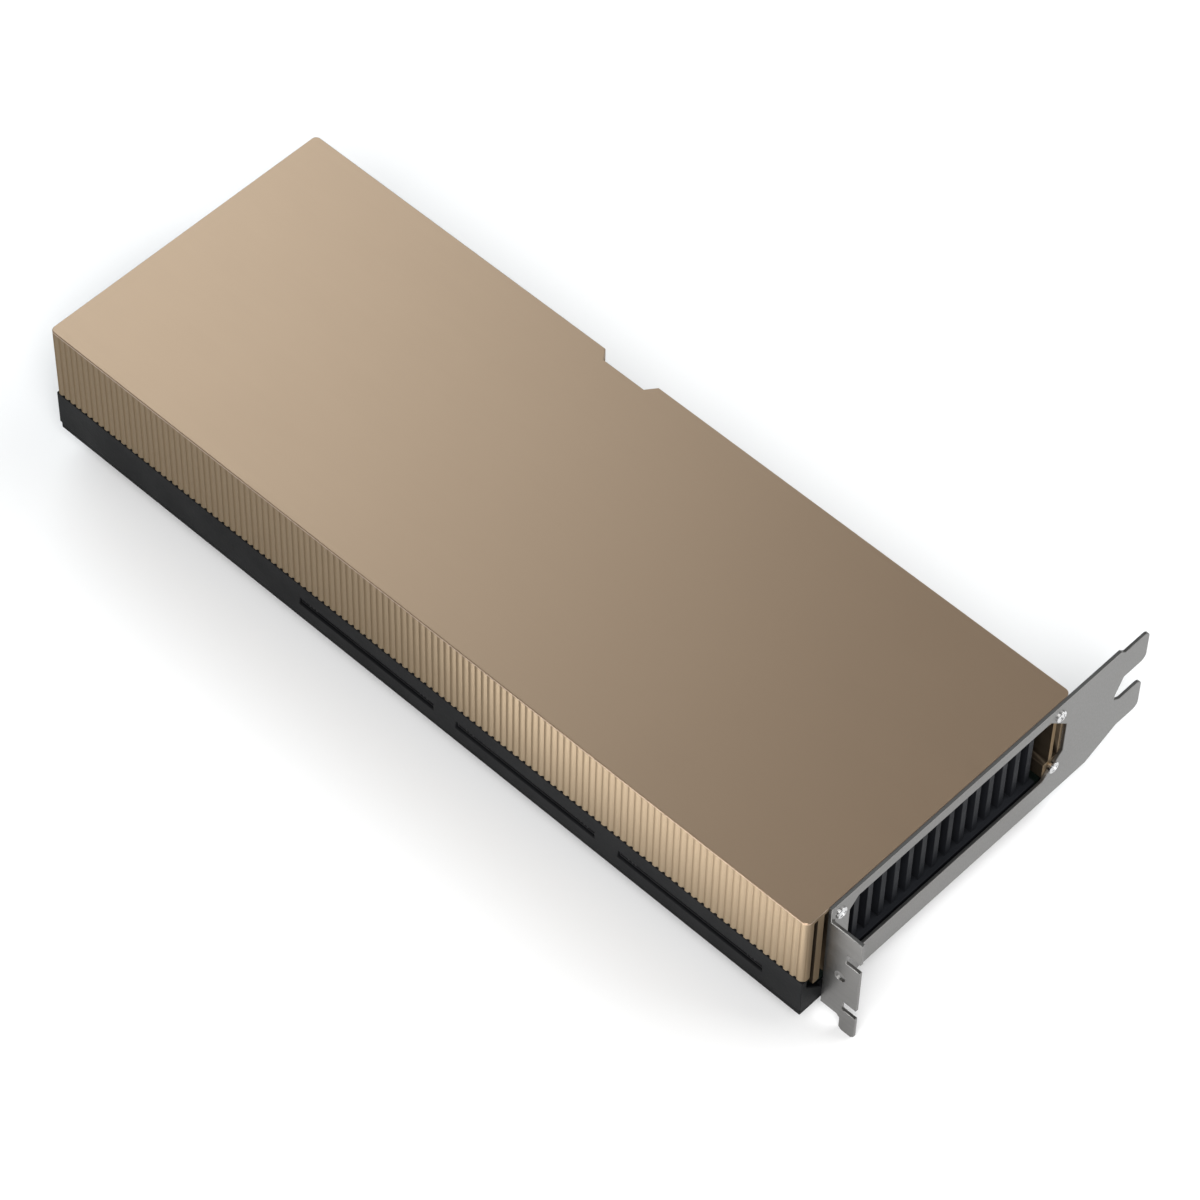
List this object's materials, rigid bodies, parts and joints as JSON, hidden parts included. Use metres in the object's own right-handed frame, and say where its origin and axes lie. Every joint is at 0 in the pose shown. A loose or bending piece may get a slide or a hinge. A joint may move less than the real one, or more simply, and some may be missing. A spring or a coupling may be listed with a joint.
{
  "type": "passive accelerator card",
  "caption": "Long fanless server accelerator card: ribbed shroud over a finned heatsink, black base frame, edge connector tongue, rear power socket and a dual-slot end bracket.",
  "frame": {"origin": "middle of the card's box, level with its lowest point, the bracket's foot tab", "axes": "+X along the card towards the bracket end, +Y towards the edge connector, +Z out of the champagne cover"},
  "size_m": [0.2789, 0.1268, 0.0465],
  "materials": {
    "champagne": "champagne anodised, brushed top",
    "black_frame": "fine matte black",
    "black_plate": "fine matte black",
    "cap": "dark moulded",
    "black_fins": "black anodised",
    "bracket_steel": "nickel plated sheet",
    "screw_steel": "plated screws",
    "black_screws": "black oxide",
    "board": "dark solder mask over glass laminate",
    "gold": "hard gold plating",
    "carrier": "green laminate",
    "silicon": "polished silicon",
    "memory": "moulded package",
    "stiffener": "nickel plated",
    "copper": "bare copper",
    "ferrite": "pressed powder core",
    "chip": "moulded package",
    "pad": "soft gap pad",
    "can": "aluminium can",
    "socket": "black moulded",
    "connector": "black moulded",
    "spacer": "bare brass",
    "washer": "spring steel"
  },
  "bodies": {
    "root": {"cover": "champagne", "base_frame": "black_frame", "backplate": "black_plate", "bridge_port_caps": "cap", "fin_heatsink": "black_fins", "io_bracket": "bracket_steel", "bracket_screws": "screw_steel", "circuit_board": "board", "edge_contacts": "gold", "processor_substrate": "carrier", "processor_die": "silicon", "memory_stacks": "memory", "package_stiffener": "stiffener", "cold_plate": "copper", "power_inductors": "ferrite", "power_stages": "chip", "thermal_pads": "pad", "bulk_capacitors": "can", "power_connector": "socket", "power_pins": "gold", "bridge_connectors": "connector", "rear_plate": "black_frame", "rear_plate_screws": "black_screws", "board_standoffs": "spacer", "backplate_screws": "black_screws", "retention_screws": "screw_steel", "spring_washers": "washer", "frame_screws": "black_screws"}
  },
  "joints": []
}
